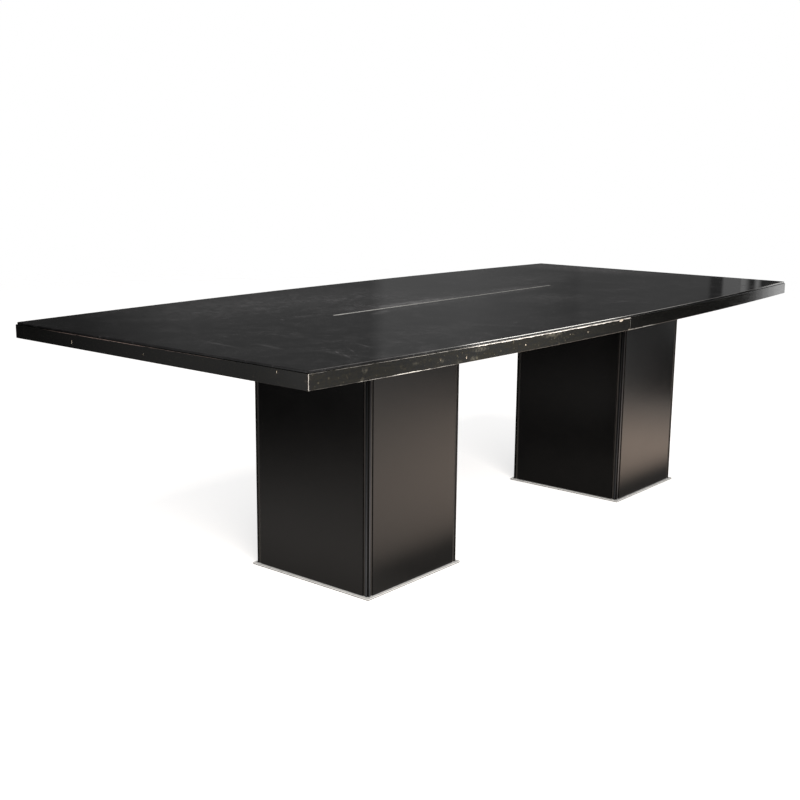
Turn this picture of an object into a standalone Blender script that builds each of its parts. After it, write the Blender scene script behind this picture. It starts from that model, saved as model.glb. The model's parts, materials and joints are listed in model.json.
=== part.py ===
"""Boat-shaped boardroom table with a black glass sheet top on two box pedestals.

The top is made in two half boards, edged all round with lacquered bands: straight
bands on the ends, arched bands in two lengths on each long side, mitred at the four
corners and butted at mid-length. A glass sheet lies on the boards, set back from the
band, with one metal strip let into it. Each pedestal is a box of four panels held by
grooved corner posts between two inner boards, standing on a metal base plate.

Frame: metres, +Z up. X runs along the table, -Y is the near long side, and the origin
is on the floor under the middle of the top.
"""

import math

import bmesh
import bpy

# Outline of the top, measured on the outer face of the edge bands
TOP_LENGTH = 2.600
END_WIDTH = 1.100
SIDE_BOW = 0.054
TABLE_HEIGHT = 0.740

# Gap left between neighbouring pieces
FIT = 0.0003

# Glass sheet
GLASS_THICKNESS = 0.006
GLASS_SETBACK = 0.003
GLASS_CORNER_RADIUS = 0.003
GLASS_ARRIS = 0.0012

# Metal strip let into the glass near its middle, along the table
INLAY_LENGTH = 1.150
INLAY_WIDTH = 0.010
INLAY_AT = (-0.030, 0.022)

# Edge bands and the half boards inside them
BAND_HEIGHT = 0.037
BAND_THICKNESS = 0.022
BAND_ARRIS = 0.0010
ARCH_STEPS = 20

# Flat steel plates that join the half boards from below
JOIN_PLATE_LENGTH = 0.160
JOIN_PLATE_WIDTH = 0.060
JOIN_PLATE_THICKNESS = 0.004
JOIN_PLATE_FROM_SIDE = 0.226
JOIN_SCREW_EDGE = 0.015

# Pedestals: plan size of the box, and where each one stands under the top
PEDESTAL_X = 0.402
PEDESTAL_Y = 0.440
LEFT_PEDESTAL_AT = (-0.5770, -0.0450)
RIGHT_PEDESTAL_AT = (0.7070, -0.0890)
PANEL_THICKNESS = 0.015
PANEL_ARRIS = 0.0008

# Corner posts: a notch on the very corner, a rib on each side of it, then a groove that
# is left open up to the panel; the web joins the ribs to the block behind the panels
POST_SIZE = 0.040
POST_WEB = 0.004
NOTCH = 0.0045
RIB_WIDTH = 0.007
GROOVE_DEPTH = 0.003
RIB_ARRIS = 0.0012

# Boards inside the pedestal, and the plate that it stands on
INNER_BOARD_THICKNESS = 0.018
BASE_PLATE_THICKNESS = 0.005
BASE_PLATE_OVERHANG = 0.008
BASE_PLATE_ARRIS = 0.0008

# Screws; the crown and point shares are parts of the head's and the shank's own sizes
SHANK_RADIUS = 0.0025
PAN_HEAD_RADIUS = 0.0055
PAN_HEAD_HEIGHT = 0.003
CROWN_RADIUS_SHARE = 0.72
CROWN_HEIGHT_SHARE = 0.45
POINT_RADIUS_SHARE = 0.35
POINT_LENGTH_SHARE = 0.20
FLAT_HEAD_RADIUS = 0.0050
FLAT_HEAD_SINK = 0.0004
SCREW_BITE = 0.014
SCREW_EDGE = 0.060
SCREW_SIDES = 12

# Edges that turn by more than these angles are eased, or stay crisp on a round piece
ARRIS_ANGLE = math.radians(40)
CRISP_ANGLE = math.radians(35)

# Levels, from the top downwards
GLASS_UNDERSIDE = TABLE_HEIGHT - GLASS_THICKNESS
BAND_TOP = GLASS_UNDERSIDE - FIT
UNDERSIDE = BAND_TOP - BAND_HEIGHT
BOX_TOP = UNDERSIDE - FIT
BOX_BOTTOM = BASE_PLATE_THICKNESS + FIT

# The long sides are arcs of one circle on each side
HALF_LENGTH = TOP_LENGTH / 2
SIDE_RADIUS = (HALF_LENGTH ** 2 + SIDE_BOW ** 2) / (2 * SIDE_BOW)
ARC_CENTRE_Y = END_WIDTH / 2 + SIDE_BOW - SIDE_RADIUS


for old in list(bpy.data.objects):
    bpy.data.objects.remove(old, do_unlink=True)


def linear(hex_colour):
    """An sRGB hex colour as a linear RGBA value."""
    channels = [int(hex_colour[i:i + 2], 16) / 255 for i in (1, 3, 5)]
    low = [c / 12.92 if c <= 0.04045 else ((c + 0.055) / 1.055) ** 2.4 for c in channels]
    return (*low, 1.0)


def material(name, hex_colour, roughness, metallic=0.0):
    made = bpy.data.materials.new(name)
    made.use_nodes = True
    shader = made.node_tree.nodes["Principled BSDF"]
    shader.inputs["Base Color"].default_value = linear(hex_colour)
    shader.inputs["Roughness"].default_value = roughness
    shader.inputs["Metallic"].default_value = metallic
    made.diffuse_color = linear(hex_colour)
    return made


BLACK_GLASS = material("black_glass", "#17171a", 0.12)
BLACK_LACQUER = material("black_lacquer", "#1c1b18", 0.35)
BLACK_LAMINATE = material("black_laminate", "#151413", 0.38)
BLACK_ANODISED = material("black_anodised", "#2c2c2e", 0.35, 0.6)
BOARD = material("fibre_board", "#5a4a38", 0.85)
ALUMINIUM = material("satin_aluminium", "#b9bbbd", 0.35, 1.0)
STEEL = material("satin_steel", "#c4c3bf", 0.30, 1.0)
ZINC = material("zinc_plated_steel", "#8f9296", 0.40, 1.0)


def place(name, bm, finish, parent=None, smooth=False):
    """Turns a bmesh into a named object with one finish."""
    bmesh.ops.recalc_face_normals(bm, faces=bm.faces)
    mesh = bpy.data.meshes.new(name)
    bm.to_mesh(mesh)
    bm.free()
    if finish:
        mesh.materials.append(finish)
    if smooth:
        mesh.shade_smooth()
        mesh.set_sharp_from_angle(angle=CRISP_ANGLE)
    made = bpy.data.objects.new(name, mesh)
    bpy.context.scene.collection.objects.link(made)
    made.parent = parent
    return made


def extrude_outline(bm, outline, low, high):
    """Adds a closed plan outline, drawn at the low level and extruded to the high one."""
    face = bm.faces.new([bm.verts.new((x, y, low)) for x, y in outline])
    grown = bmesh.ops.extrude_face_region(bm, geom=[face])
    top = [v for v in grown["geom"] if isinstance(v, bmesh.types.BMVert)]
    bmesh.ops.translate(bm, verts=top, vec=(0, 0, high - low))


def prism(name, outline, low, high, finish, parent=None):
    bm = bmesh.new()
    extrude_outline(bm, outline, low, high)
    return place(name, bm, finish, parent)


def rectangle(centre_x, centre_y, size_x, size_y):
    x0, x1 = centre_x - size_x / 2, centre_x + size_x / 2
    y0, y1 = centre_y - size_y / 2, centre_y + size_y / 2
    return [(x0, y0), (x1, y0), (x1, y1), (x0, y1)]


def arris(piece, width, segments=2):
    """Eases the sharp edges of a piece."""
    bevel = piece.modifiers.new("arris", "BEVEL")
    bevel.width = width
    bevel.segments = segments
    bevel.limit_method = "ANGLE"
    bevel.angle_limit = ARRIS_ANGLE
    bevel.harden_normals = False


def turned(bm, profile, at, sides=SCREW_SIDES):
    """Adds a solid turned about an upright axis; the profile is (radius, height) pairs."""
    rings = []
    for radius, height in profile:
        ring = []
        for i in range(sides):
            turn = 2 * math.pi * i / sides
            ring.append(bm.verts.new((
                at[0] + radius * math.cos(turn),
                at[1] + radius * math.sin(turn),
                at[2] + height,
            )))
        rings.append(ring)
    for lower, upper in zip(rings, rings[1:]):
        for i in range(sides):
            j = (i + 1) % sides
            bm.faces.new((lower[i], lower[j], upper[j], upper[i]))
    bm.faces.new(rings[0])
    bm.faces.new(rings[-1])


def drill(piece, name, profile, points):
    """Cuts one turned hole in a piece at each point."""
    bm = bmesh.new()
    for at in points:
        turned(bm, profile, at)
    cutter = place(name, bm, None, piece.parent)
    cut_with(piece, cutter)


def cut_with(piece, cutter):
    cutter.hide_render = True
    cutter.display_type = "WIRE"
    cut = piece.modifiers.new(cutter.name, "BOOLEAN")
    cut.operation = "DIFFERENCE"
    cut.solver = "EXACT"
    cut.object = cutter


# Outline of the top

def side_y(x, inset):
    """Half width of the top at x, on an outline set in from the band's outer face."""
    return ARC_CENTRE_Y + math.sqrt((SIDE_RADIUS - inset) ** 2 - x ** 2)


def spread(start, stop, steps):
    return [start + (stop - start) * i / steps for i in range(steps + 1)]


def rounded_corner(inset, radius, steps=4):
    """Points of the far right corner of an inset outline, from the end round to the side."""
    end_x = HALF_LENGTH - inset
    centre_x = end_x - radius
    centre_y = side_y(centre_x, inset + radius)
    lean = math.atan2(centre_x, centre_y - ARC_CENTRE_Y)
    turns = spread(0.0, math.pi / 2 - lean, steps)
    return [(centre_x + radius * math.cos(t), centre_y + radius * math.sin(t)) for t in turns]


def boat_outline(inset, radius):
    """The whole outline, with its four corners rounded."""
    corner = rounded_corner(inset, radius)
    last_x = corner[-1][0]
    arch = [(x, side_y(x, inset)) for x in spread(last_x, -last_x, 2 * ARCH_STEPS)[1:-1]]
    far = corner + arch + [(-x, y) for x, y in reversed(corner)]
    return far + [(x, -y) for x, y in reversed(far)]


# Glass sheet with the slot for the metal strip

def stadium(length, width, centre, steps=8):
    """Outline of a slot with round ends, along X."""
    reach = (length - width) / 2
    turns = spread(-math.pi / 2, math.pi / 2, steps)
    right = [(reach + width / 2 * math.cos(t), width / 2 * math.sin(t)) for t in turns]
    both = right + [(-x, -y) for x, y in right]
    return [(centre[0] + x, centre[1] + y) for x, y in both]


glass = prism(
    "glass_top",
    boat_outline(GLASS_SETBACK, GLASS_CORNER_RADIUS),
    GLASS_UNDERSIDE,
    TABLE_HEIGHT,
    BLACK_GLASS,
)
arris(glass, GLASS_ARRIS, 1)
slot = prism(
    "glass_slot_cutter",
    stadium(INLAY_LENGTH + 2 * FIT, INLAY_WIDTH + 2 * FIT, INLAY_AT),
    GLASS_UNDERSIDE - GLASS_THICKNESS,
    TABLE_HEIGHT + GLASS_THICKNESS,
    None,
)
cut_with(glass, slot)
prism(
    "centre_inlay",
    stadium(INLAY_LENGTH, INLAY_WIDTH, INLAY_AT),
    GLASS_UNDERSIDE,
    TABLE_HEIGHT,
    ALUMINIUM,
)


# Edge bands: each is a loft of upright rectangles from its outer to its inner face

def mitre_point(inset, on_side, sign):
    """Where the mitre cut of the far right corner meets a face of a band.

    The cut runs from the outer corner to the inner one, moved aside by half the gap:
    sign +1 towards the end band, -1 towards the side band.
    """
    outer = (HALF_LENGTH, END_WIDTH / 2)
    inner_x = HALF_LENGTH - BAND_THICKNESS
    inner = (inner_x, side_y(inner_x, BAND_THICKNESS))
    along = (inner[0] - outer[0], inner[1] - outer[1])
    size = math.hypot(*along)
    aside = sign * FIT / 2 / size
    start = (outer[0] - along[1] * aside, outer[1] + along[0] * aside)
    if not on_side:
        share = (HALF_LENGTH - inset - start[0]) / along[0]
        return (HALF_LENGTH - inset, start[1] + along[1] * share)
    radius = SIDE_RADIUS - inset
    rise = start[1] - ARC_CENTRE_Y
    half_b = start[0] * along[0] + rise * along[1]
    rest = start[0] ** 2 + rise ** 2 - radius ** 2
    root = math.sqrt(half_b ** 2 - size ** 2 * rest)
    share = min((-half_b - root) / size ** 2, (-half_b + root) / size ** 2, key=abs)
    return (start[0] + along[0] * share, start[1] + along[1] * share)


def loft_band(name, outer, inner):
    """Joins matching points of the outer and inner faces into one closed band."""
    bm = bmesh.new()
    sections = []
    for (ox, oy), (ix, iy) in zip(outer, inner):
        corners = (
            (ox, oy, UNDERSIDE),
            (ox, oy, BAND_TOP),
            (ix, iy, BAND_TOP),
            (ix, iy, UNDERSIDE),
        )
        sections.append([bm.verts.new(corner) for corner in corners])
    for here, there in zip(sections, sections[1:]):
        for i in range(4):
            j = (i + 1) % 4
            bm.faces.new((here[i], here[j], there[j], there[i]))
    bm.faces.new(sections[0])
    bm.faces.new(sections[-1])
    band = place(name, bm, BLACK_LACQUER)
    arris(band, BAND_ARRIS)


def side_band(name, sign_x, sign_y):
    """One arched band, from the butt joint at mid-length to a mitred corner."""
    outer_end = mitre_point(0.0, True, -1)
    inner_end = mitre_point(BAND_THICKNESS, True, -1)
    faces = []
    for inset, end in ((0.0, outer_end), (BAND_THICKNESS, inner_end)):
        stations = spread(FIT / 2, end[0], ARCH_STEPS)
        faces.append([(sign_x * x, sign_y * side_y(x, inset)) for x in stations])
    loft_band(name, *faces)


def end_band(name, sign_x):
    outer_x, outer_y = mitre_point(0.0, False, 1)
    inner_x, inner_y = mitre_point(BAND_THICKNESS, False, 1)
    outer = [(sign_x * outer_x, -outer_y), (sign_x * outer_x, outer_y)]
    inner = [(sign_x * inner_x, -inner_y), (sign_x * inner_x, inner_y)]
    loft_band(name, outer, inner)


end_band("left_end_band", -1)
end_band("right_end_band", 1)
side_band("near_left_band", -1, -1)
side_band("near_right_band", 1, -1)
side_band("far_left_band", -1, 1)
side_band("far_right_band", 1, 1)


# Half boards inside the bands

def half_board(name, sign_x):
    inset = BAND_THICKNESS + FIT
    stations = spread(FIT / 2, HALF_LENGTH - inset, ARCH_STEPS)
    far = [(sign_x * x, side_y(x, inset)) for x in stations]
    outline = far + [(x, -y) for x, y in reversed(far)]
    return prism(name, outline, UNDERSIDE, BAND_TOP, BOARD)


half_boards = {-1: half_board("left_half_board", -1), 1: half_board("right_half_board", 1)}


# Screws

def pan_screw_profile(grip):
    """Pan-head screw pointing up, from the bearing face: the head hangs below it."""
    crown = -FIT - PAN_HEAD_HEIGHT
    tip = grip + SCREW_BITE
    return [
        (PAN_HEAD_RADIUS * CROWN_RADIUS_SHARE, crown),
        (PAN_HEAD_RADIUS, crown + PAN_HEAD_HEIGHT * CROWN_HEIGHT_SHARE),
        (PAN_HEAD_RADIUS, -FIT),
        (SHANK_RADIUS, -FIT),
        (SHANK_RADIUS, tip - SCREW_BITE * POINT_LENGTH_SHARE),
        (SHANK_RADIUS * POINT_RADIUS_SHARE, tip),
    ]


def hole_profile(start, end):
    """Clearance hole for a screw shank."""
    radius = SHANK_RADIUS + FIT
    return [(radius, start), (radius, end)]


def flat_screw_profile(grow=0.0):
    """Countersunk screw pointing up, with its head sunk in the base plate's underside."""
    cone = FLAT_HEAD_RADIUS - SHANK_RADIUS
    sink = 0.0 if grow else FLAT_HEAD_SINK
    head = FLAT_HEAD_RADIUS + grow
    shank = SHANK_RADIUS + grow
    tip = BASE_PLATE_THICKNESS + FIT + SCREW_BITE
    return [
        (head, sink),
        (head, FLAT_HEAD_SINK + FIT),
        (shank, FLAT_HEAD_SINK + FIT + cone),
        (shank, tip + grow),
    ]


def screw(name, profile, at, parent=None):
    bm = bmesh.new()
    turned(bm, profile, at)
    place(name, bm, ZINC, parent, smooth=True)


def bored(piece, cutter_name, points, low, high):
    """Drills upright clearance holes between two levels."""
    drill(piece, cutter_name, hole_profile(low, high), [(x, y, 0.0) for x, y in points])


# Joining plates under the middle of the top, each with two screws in each half board
PLATE_TOP = UNDERSIDE - FIT
PLATE_LOW = PLATE_TOP - JOIN_PLATE_THICKNESS
JOIN_GRIP = JOIN_PLATE_THICKNESS + FIT
board_holes = {-1: [], 1: []}

for side, sign in (("near", -1), ("far", 1)):
    centre_y = sign * (END_WIDTH / 2 + SIDE_BOW - JOIN_PLATE_FROM_SIDE)
    plate = prism(
        f"{side}_joining_plate",
        rectangle(0.0, centre_y, JOIN_PLATE_LENGTH, JOIN_PLATE_WIDTH),
        PLATE_LOW,
        PLATE_TOP,
        ZINC,
    )
    reach_x = JOIN_PLATE_LENGTH / 2 - JOIN_SCREW_EDGE
    reach_y = JOIN_PLATE_WIDTH / 2 - JOIN_SCREW_EDGE
    spots = [(i * reach_x, centre_y + j * reach_y) for i in (-1, 1) for j in (-1, 1)]
    bored(plate, f"{side}_joining_plate_holes", spots,
          PLATE_LOW - JOIN_PLATE_THICKNESS, PLATE_TOP + JOIN_PLATE_THICKNESS)
    for number, (x, y) in enumerate(spots, 1):
        screw(f"{side}_joining_screw_{number}", pan_screw_profile(JOIN_GRIP), (x, y, PLATE_LOW))
        board_holes[-1 if x < 0 else 1].append((x, y))


# Pedestals

def post_outline():
    """Plan of a corner post, from the pedestal's outer corner inwards along both faces."""
    edge = NOTCH + RIB_WIDTH
    back = PANEL_THICKNESS + FIT
    land = back + POST_WEB
    one_side = [
        (NOTCH, 0.0),
        (edge, 0.0),
        (edge, GROOVE_DEPTH),
        (land, GROOVE_DEPTH),
        (land, back),
        (POST_SIZE, back),
    ]
    other_side = [(v, u) for u, v in reversed(one_side)]
    return [(NOTCH, NOTCH)] + one_side + [(POST_SIZE, POST_SIZE)] + other_side


PANEL_START = PANEL_THICKNESS + FIT + POST_WEB + FIT


def inner_board_outline():
    """Plan of a board between the panels, with its corners cut clear of the posts."""
    half_x = PEDESTAL_X / 2 - PANEL_THICKNESS - FIT
    half_y = PEDESTAL_Y / 2 - PANEL_THICKNESS - FIT
    step = POST_SIZE - PANEL_THICKNESS
    corner = [(half_x, half_y - step), (half_x - step, half_y - step), (half_x - step, half_y)]
    far = corner + [(-x, y) for x, y in reversed(corner)]
    return far + [(x, -y) for x, y in reversed(far)]


def pedestal(side, centre, outward, board):
    """One box pedestal; outward is the direction along X of the nearer table end."""
    stand = bpy.data.objects.new(f"{side}_pedestal", None)
    stand.location = (centre[0], centre[1], 0.0)
    bpy.context.scene.collection.objects.link(stand)

    half_x = PEDESTAL_X / 2
    half_y = PEDESTAL_Y / 2
    thick = PANEL_THICKNESS
    span_x = PEDESTAL_X - 2 * PANEL_START
    span_y = PEDESTAL_Y - 2 * PANEL_START
    plans = {
        "near": rectangle(0.0, -half_y + thick / 2, span_x, thick),
        "far": rectangle(0.0, half_y - thick / 2, span_x, thick),
        "outer": rectangle(outward * (half_x - thick / 2), 0.0, thick, span_y),
        "inner": rectangle(-outward * (half_x - thick / 2), 0.0, thick, span_y),
    }
    for face, plan in plans.items():
        panel = prism(f"{side}_{face}_panel", plan, BOX_BOTTOM, BOX_TOP, BLACK_LAMINATE, stand)
        arris(panel, PANEL_ARRIS)

    for end, sign_x in (("outer", outward), ("inner", -outward)):
        for face, sign_y in (("near", -1), ("far", 1)):
            plan = [(sign_x * (half_x - u), sign_y * (half_y - v)) for u, v in post_outline()]
            name = f"{side}_{face}_{end}_post"
            post = prism(name, plan, BOX_BOTTOM, BOX_TOP, BLACK_ANODISED, stand)
            arris(post, RIB_ARRIS)

    # Inner boards at the top and the bottom of the box
    thickness = INNER_BOARD_THICKNESS
    head = prism(f"{side}_head_board", inner_board_outline(),
                 BOX_TOP - thickness, BOX_TOP, BOARD, stand)
    foot = prism(f"{side}_foot_board", inner_board_outline(),
                 BOX_BOTTOM, BOX_BOTTOM + thickness, BOARD, stand)
    base = prism(
        f"{side}_base_plate",
        rectangle(0.0, 0.0, PEDESTAL_X + 2 * BASE_PLATE_OVERHANG,
                  PEDESTAL_Y + 2 * BASE_PLATE_OVERHANG),
        0.0,
        BASE_PLATE_THICKNESS,
        STEEL,
        stand,
    )
    arris(base, BASE_PLATE_ARRIS)

    # Screws: four up into the half board, and four up through the base plate
    reach_x = half_x - thick - SCREW_EDGE
    reach_y = half_y - thick - SCREW_EDGE
    spots = [(i * reach_x, j * reach_y) for i in (-1, 1) for j in (-1, 1)]
    head_low = BOX_TOP - thickness
    bored(head, f"{side}_head_board_holes", spots, head_low - thickness, BOX_TOP + thickness)
    grip = thickness + FIT
    for number, (x, y) in enumerate(spots, 1):
        screw(f"{side}_top_screw_{number}", pan_screw_profile(grip), (x, y, head_low), stand)
        screw(f"{side}_base_screw_{number}", flat_screw_profile(), (x, y, 0.0), stand)
        board_holes[board].append((centre[0] + x, centre[1] + y))

    hole_points = [(x, y, 0.0) for x, y in spots]
    drill(base, f"{side}_base_plate_holes", flat_screw_profile(FIT), hole_points)
    bored(foot, f"{side}_foot_board_holes", spots,
          BASE_PLATE_THICKNESS - thickness, BOX_BOTTOM + SCREW_BITE + FIT)


pedestal("left", LEFT_PEDESTAL_AT, -1, -1)
pedestal("right", RIGHT_PEDESTAL_AT, 1, 1)

# Pilot holes in the half boards, one for each screw from below
for sign, board in half_boards.items():
    bored(board, f"{board.name}_holes", board_holes[sign],
          UNDERSIDE - BAND_HEIGHT, UNDERSIDE + SCREW_BITE + 2 * FIT)

bpy.context.view_layer.update()
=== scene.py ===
import json
import math
import random

import bmesh
import bpy
from mathutils import Matrix, Vector

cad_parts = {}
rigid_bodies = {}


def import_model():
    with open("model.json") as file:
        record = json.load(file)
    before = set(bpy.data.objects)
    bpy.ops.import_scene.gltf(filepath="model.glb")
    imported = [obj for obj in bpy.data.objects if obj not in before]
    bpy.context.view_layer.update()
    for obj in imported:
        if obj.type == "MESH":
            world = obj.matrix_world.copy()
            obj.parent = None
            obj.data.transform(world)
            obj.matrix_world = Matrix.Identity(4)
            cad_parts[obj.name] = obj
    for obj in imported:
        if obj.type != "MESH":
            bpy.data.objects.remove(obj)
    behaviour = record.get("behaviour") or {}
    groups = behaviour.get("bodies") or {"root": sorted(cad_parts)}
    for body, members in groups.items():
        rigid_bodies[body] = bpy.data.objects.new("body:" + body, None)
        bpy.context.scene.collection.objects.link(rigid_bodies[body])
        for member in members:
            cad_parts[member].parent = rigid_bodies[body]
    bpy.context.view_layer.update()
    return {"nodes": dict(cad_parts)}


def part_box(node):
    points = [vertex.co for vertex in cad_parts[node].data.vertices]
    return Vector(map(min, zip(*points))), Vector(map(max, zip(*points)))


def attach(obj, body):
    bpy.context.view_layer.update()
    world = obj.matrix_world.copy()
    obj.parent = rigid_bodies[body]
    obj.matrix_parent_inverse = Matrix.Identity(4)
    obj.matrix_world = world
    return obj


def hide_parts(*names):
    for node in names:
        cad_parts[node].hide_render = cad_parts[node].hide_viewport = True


for starter in list(bpy.data.objects):  # Blender's own cube, lamp and camera
    bpy.data.objects.remove(starter, do_unlink=True)
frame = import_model()
scene = bpy.context.scene
scene.view_settings.view_transform = "Standard"

# Base plates: one stainless steel plate under each pedestal, sheared from 5 mm sheet and blasted.
# It stands a little proud of the box all round and is screwed up into the foot board.
STEEL_COLOUR = "#f0f2f3"
BLAST_GRIT_MM = 1.2  # the real grit is finer; this is the coarsest that still reads as blasting
SCUFF_MM = 30.0
FOOT_PAINTED_SHADE = "#55504a"
FOOT_SHADE_TOP = 0.0027  # the painted shade thins out between these two heights above the floor
FOOT_SHADE_FOOT = 0.0014


def linear(hex_colour):
    """An sRGB hex colour as the linear RGBA that a shader socket takes."""
    channels = [int(hex_colour[start:start + 2], 16) / 255 for start in (1, 3, 5)]
    lit = [c / 12.92 if c <= 0.04045 else ((c + 0.055) / 1.055) ** 2.4 for c in channels]
    return (*lit, 1.0)


def per_metre(size_mm):
    """The texture scale that gives a pattern of this real size."""
    return 1000.0 / size_mm


def node(tree, kind, inputs=None, stops=None, **settings):
    """Adds a shader node with its settings; an input given a socket is linked, any other is set."""
    added = tree.nodes.new("ShaderNode" + kind)
    for name, value in settings.items():
        setattr(added, name, value)
    for index, (position, level) in enumerate(stops or []):
        ramp = added.color_ramp.elements
        stop = ramp[index] if index < len(ramp) else ramp.new(position)
        stop.position = position
        stop.color = (level, level, level, 1.0)
    sockets = {socket.identifier: socket for socket in added.inputs}
    for name, value in (inputs or {}).items():
        if isinstance(value, bpy.types.NodeSocket):
            tree.links.new(value, sockets[name])
        else:
            sockets[name].default_value = value
    return {socket.identifier: socket for socket in added.outputs}


def start_material(name):
    """An empty material and its node tree."""
    material = bpy.data.materials.new(name)
    material.use_nodes = True
    material.node_tree.nodes.clear()
    return material, material.node_tree


def coat(material, *names):
    """Gives CAD nodes or pieces this finish."""
    for name in names:
        piece = bpy.data.objects[name]
        piece.data.materials.clear()
        piece.data.materials.append(material)


# Blasted stainless steel: a pale grey that spreads light far more than it mirrors, so it is drawn
# mostly matt, with a dark line of painted shade along its foot, standing in for its contact shadow.
blasted_stainless, tree = start_material("blasted_stainless_steel")
place = node(tree, "TexCoord")["Object"]
blasting = node(tree, "TexNoise", {
    "Vector": place, "Scale": per_metre(BLAST_GRIT_MM), "Detail": 3.0,
})["Fac"]
scuffs = node(tree, "TexNoise", {"Vector": place, "Scale": per_metre(SCUFF_MM), "Detail": 5.0})["Fac"]
steel_tone = node(tree, "ValToRGB", {"Fac": scuffs}, stops=[(0.30, 0.88), (0.62, 1.0)])["Color"]
steel_colour = node(tree, "Mix", {
    "Factor_Float": 1.0, "A_Color": linear(STEEL_COLOUR), "B_Color": steel_tone,
}, data_type="RGBA", blend_type="MULTIPLY")["Result_Color"]
height = node(tree, "SeparateXYZ", {"Vector": place})["Z"]
# painted shade: the plate's foot is darkened in its colour, standing in for its contact shadow
foot_shade = node(tree, "MapRange", {
    "Value": height, "From Min": FOOT_SHADE_TOP, "From Max": FOOT_SHADE_FOOT,
})["Result"]
steel_colour = node(tree, "Mix", {
    "Factor_Float": foot_shade, "A_Color": steel_colour, "B_Color": linear(FOOT_PAINTED_SHADE),
}, data_type="RGBA")["Result_Color"]
steel_roughness = node(tree, "MapRange", {"Value": blasting, "To Min": 0.50, "To Max": 0.66})["Result"]
steel_bump = node(tree, "Bump", {"Height": blasting, "Strength": 0.12, "Distance": 0.0003})["Normal"]
steel = node(tree, "BsdfPrincipled", {
    "Base Color": steel_colour, "Metallic": 0.12, "Roughness": steel_roughness, "Normal": steel_bump,
})
node(tree, "OutputMaterial", {"Surface": steel["BSDF"]})
coat(blasted_stainless, "left_base_plate", "right_base_plate")

# Panels: the four walls of each pedestal, board faced with a satin black laminate.
# They stand in the grooves of the corner posts, between the foot board and the head board.
LAMINATE_BLACK = "#060606"
LAMINATE_WORN = "#0b0a0a"
LAMINATE_GRAIN_MM = 1.6  # the pressed grain is half this; drawn coarser so that it shows
HAND_SMEAR_MM = 110.0
SMUDGE_MM = 35.0

# Satin laminate: a deep black with a soft sheen, a little greyer where hands and shoes rubbed it.
satin_laminate, tree = start_material("satin_black_laminate")
place = node(tree, "TexCoord")["Object"]
grain = node(tree, "TexNoise", {
    "Vector": place, "Scale": per_metre(LAMINATE_GRAIN_MM), "Detail": 2.0,
})["Fac"]
smears = node(tree, "TexNoise", {
    "Vector": place, "Scale": per_metre(HAND_SMEAR_MM), "Detail": 6.0, "Distortion": 0.8,
})["Fac"]
smudges = node(tree, "TexNoise", {"Vector": place, "Scale": per_metre(SMUDGE_MM), "Detail": 4.0})["Fac"]
rubs_and_painted_sheen = node(tree, "ValToRGB", {"Fac": smears}, stops=[(0.34, 0.0), (0.78, 1.0)])["Color"]
laminate_colour = node(tree, "Mix", {
    "Factor_Float": rubs_and_painted_sheen, "A_Color": linear(LAMINATE_BLACK), "B_Color": linear(LAMINATE_WORN),
}, data_type="RGBA")["Result_Color"]
sheen_change = node(tree, "Math", {"Value": smudges, "Value_001": rubs_and_painted_sheen}, operation="MULTIPLY")["Value"]
laminate_roughness = node(tree, "MapRange", {
    "Value": sheen_change, "To Min": 0.22, "To Max": 0.28,
})["Result"]
laminate_bump = node(tree, "Bump", {"Height": grain, "Strength": 0.05, "Distance": 0.0002})["Normal"]
laminate = node(tree, "BsdfPrincipled", {
    "Base Color": laminate_colour, "Roughness": laminate_roughness, "IOR": 1.5,
    "Specular IOR Level": 0.45, "Normal": laminate_bump,
})
node(tree, "OutputMaterial", {"Surface": laminate["BSDF"]})
SIDES = ("left", "right")
for side in SIDES:
    coat(satin_laminate, *(f"{side}_{wall}_panel" for wall in ("near", "far", "outer", "inner")))

# Corner posts: black anodised aluminium extrusions, ribbed on each side of a notched corner.
# They run the full height of a pedestal and grip the edges of two panels. Their sheen is a painted
# reflection that brightens towards the floor, and one post on each pedestal has it painted brighter.
BRIGHT_PAINTED_SHEEN = "#6c6f74"
BRIGHT_SHEEN_ABOVE = 0.14  # share of the painted sheen that is left at the top
PLAIN_SHEEN = "#303031"
PLAIN_ABOVE = 0.9
SHEEN_FADE_TOP = 0.60
SHEEN_FULL_FOOT = 0.08
GROOVE_DUST_AND_FILL_LIGHT = "#3a3836"
FACE_SKIN = 0.0008  # what lies deeper than this is groove
NOTCH_PAINTED_SHADE = "#0e0e0e"
NOTCH_REACH = 0.0047
RIB_HIGHLIGHT_REACH = 0.0075  # the painted highlight on the outer rib reaches this far from the corner
RIB_END = 0.0110
RIB_SHADE = 0.4  # share of the painted sheen on the ribs further in
DIE_LINE_MM = 1.5
DIE_LENGTH_MM = 180.0


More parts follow.
